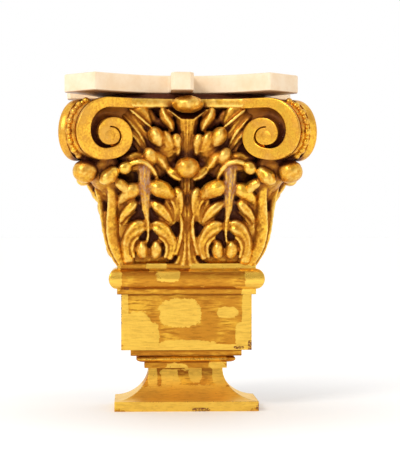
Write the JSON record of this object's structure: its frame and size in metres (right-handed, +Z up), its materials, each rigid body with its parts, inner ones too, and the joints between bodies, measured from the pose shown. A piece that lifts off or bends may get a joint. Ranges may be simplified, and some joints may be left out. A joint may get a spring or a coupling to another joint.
{
  "type": "gilded capital",
  "caption": "Flat-backed carved and gilded capital with corner volutes and acanthus leaves, a cream abacus, a square moulded stem and a flared foot.",
  "frame": {"origin": "centre of the foot's flat underside", "axes": "+Z up, +X to the right as seen from the front, the carved front facing -Y and the flat back facing +Y"},
  "size_m": [0.2903, 0.145, 0.384],
  "materials": {
    "cream_paint": "cream paint over wood, satin, with faint mottling and rubbed arrises",
    "gilded_carving": "burnished gold leaf on the high places, toned brown in the recesses, rubbed to the ground on the midribs",
    "gilded_moulding": "toned gold leaf with fine streaks and brighter laps near the ends",
    "gilded_block": "toned gold leaf over fine horizontal streaks, with brighter laid patches and specks",
    "gilded_steps": "toned gold leaf with darker seams",
    "gilded_foot": "toned gold leaf with the laps of square leaves and rubbed edges"
  },
  "bodies": {
    "root": {"abacus": "cream_paint", "carved_capital": "gilded_carving", "neck_moulding": "gilded_moulding", "dado_block": "gilded_block", "stepped_moulding": "gilded_steps", "flared_foot": "gilded_foot"}
  },
  "joints": []
}
